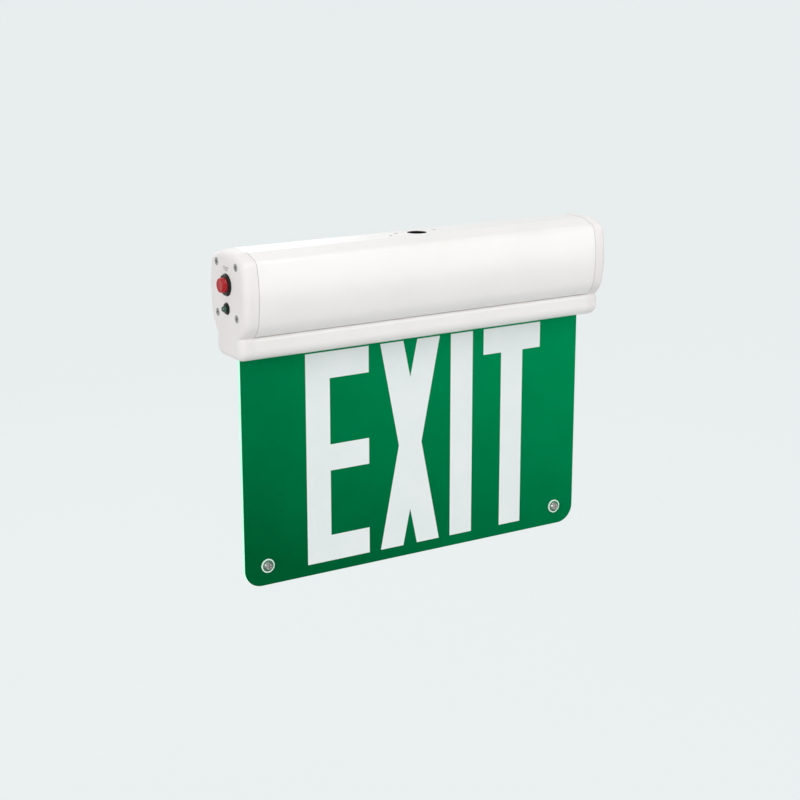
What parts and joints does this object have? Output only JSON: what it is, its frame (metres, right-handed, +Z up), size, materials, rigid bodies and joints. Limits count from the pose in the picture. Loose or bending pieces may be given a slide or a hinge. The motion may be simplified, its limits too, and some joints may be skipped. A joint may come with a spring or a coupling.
{
  "type": "emergency exit light",
  "caption": "Edge-lit emergency exit sign for a ceiling: a white housing with end caps, test button and indicator over a hanging clear panel with a green EXIT legend.",
  "frame": {"origin": "middle of the flat strip on top of the housing, where the cable-entry axis meets the ceiling plane", "axes": "+X along the sign towards the end of the legend, -Y out of the legend's face, +Z up to the ceiling"},
  "size_m": [0.3011, 0.0534, 0.2364],
  "materials": {
    "white_enamel": "satin",
    "white_plastic": "satin",
    "zinc_steel": "satin",
    "pale_bush": "matte",
    "film_white": "satin",
    "film_green": "gloss",
    "clear_acrylic": "gloss",
    "washer_clear": "satin",
    "bare_aluminium": "satin",
    "lamp_white": "gloss",
    "brass": "satin",
    "board_green": "satin",
    "core_iron": "matte",
    "winding_tape": "satin",
    "can_black": "gloss",
    "relay_blue": "satin",
    "terminal_green": "satin",
    "socket_white": "matte",
    "battery_sleeve": "gloss",
    "dark_plastic": "satin",
    "button_red": "gloss",
    "spring_steel": "satin",
    "lens_green": "gloss",
    "lead_red": "matte",
    "lead_white": "matte",
    "lead_black": "matte",
    "lead_green": "matte"
  },
  "bodies": {
    "housing": {"housing_shell": "white_enamel", "lower_rail": "white_enamel", "left_end_cap": "white_plastic", "right_end_cap": "white_plastic", "left_cap_screws": "zinc_steel", "right_cap_screws": "zinc_steel", "cable_grommet": "pale_bush", "reflector_sheet": "film_white", "light_panel": "clear_acrylic", "legend_film": "film_green", "exit_letters": "film_white", "panel_screws": "zinc_steel", "front_washers": "washer_clear", "back_washers": "washer_clear", "panel_nuts": "zinc_steel", "clamp_bar_front": "bare_aluminium", "clamp_bar_back": "bare_aluminium", "clamp_screws": "zinc_steel", "lamp_board": "bare_aluminium", "lamp_chips": "lamp_white", "lamp_screws": "zinc_steel", "rail_screws": "zinc_steel", "gear_tray": "zinc_steel", "tray_screws": "zinc_steel", "board_standoffs": "brass", "circuit_board": "board_green", "board_screws": "zinc_steel", "transformer_core": "core_iron", "transformer_winding": "winding_tape", "capacitors": "can_black", "relay": "relay_blue", "terminal_block": "terminal_green", "terminal_screws": "zinc_steel", "board_sockets": "socket_white", "lead_plugs": "socket_white", "battery_pack": "battery_sleeve", "battery_saddles": "zinc_steel", "saddle_screws": "zinc_steel", "switch_body": "dark_plastic", "switch_nut": "zinc_steel", "button_spring": "spring_steel", "switch_terminals": "brass", "indicator_bezel": "dark_plastic", "indicator_lens": "lens_green", "indicator_nut": "zinc_steel", "battery_leads": "lead_red", "lamp_leads": "lead_white", "switch_leads": "lead_black", "indicator_leads": "lead_green"},
    "plunger": {"test_button": "button_red"}
  },
  "joints": [
    {"name": "button_press", "type": "slide", "parent": "housing", "child": "plunger", "axis": [1, 0, 0], "range_m": [0, 0.002], "stiffness_N_per_m": 400, "springref_m": -0.001, "deforming": ["button_spring"]}
  ]
}
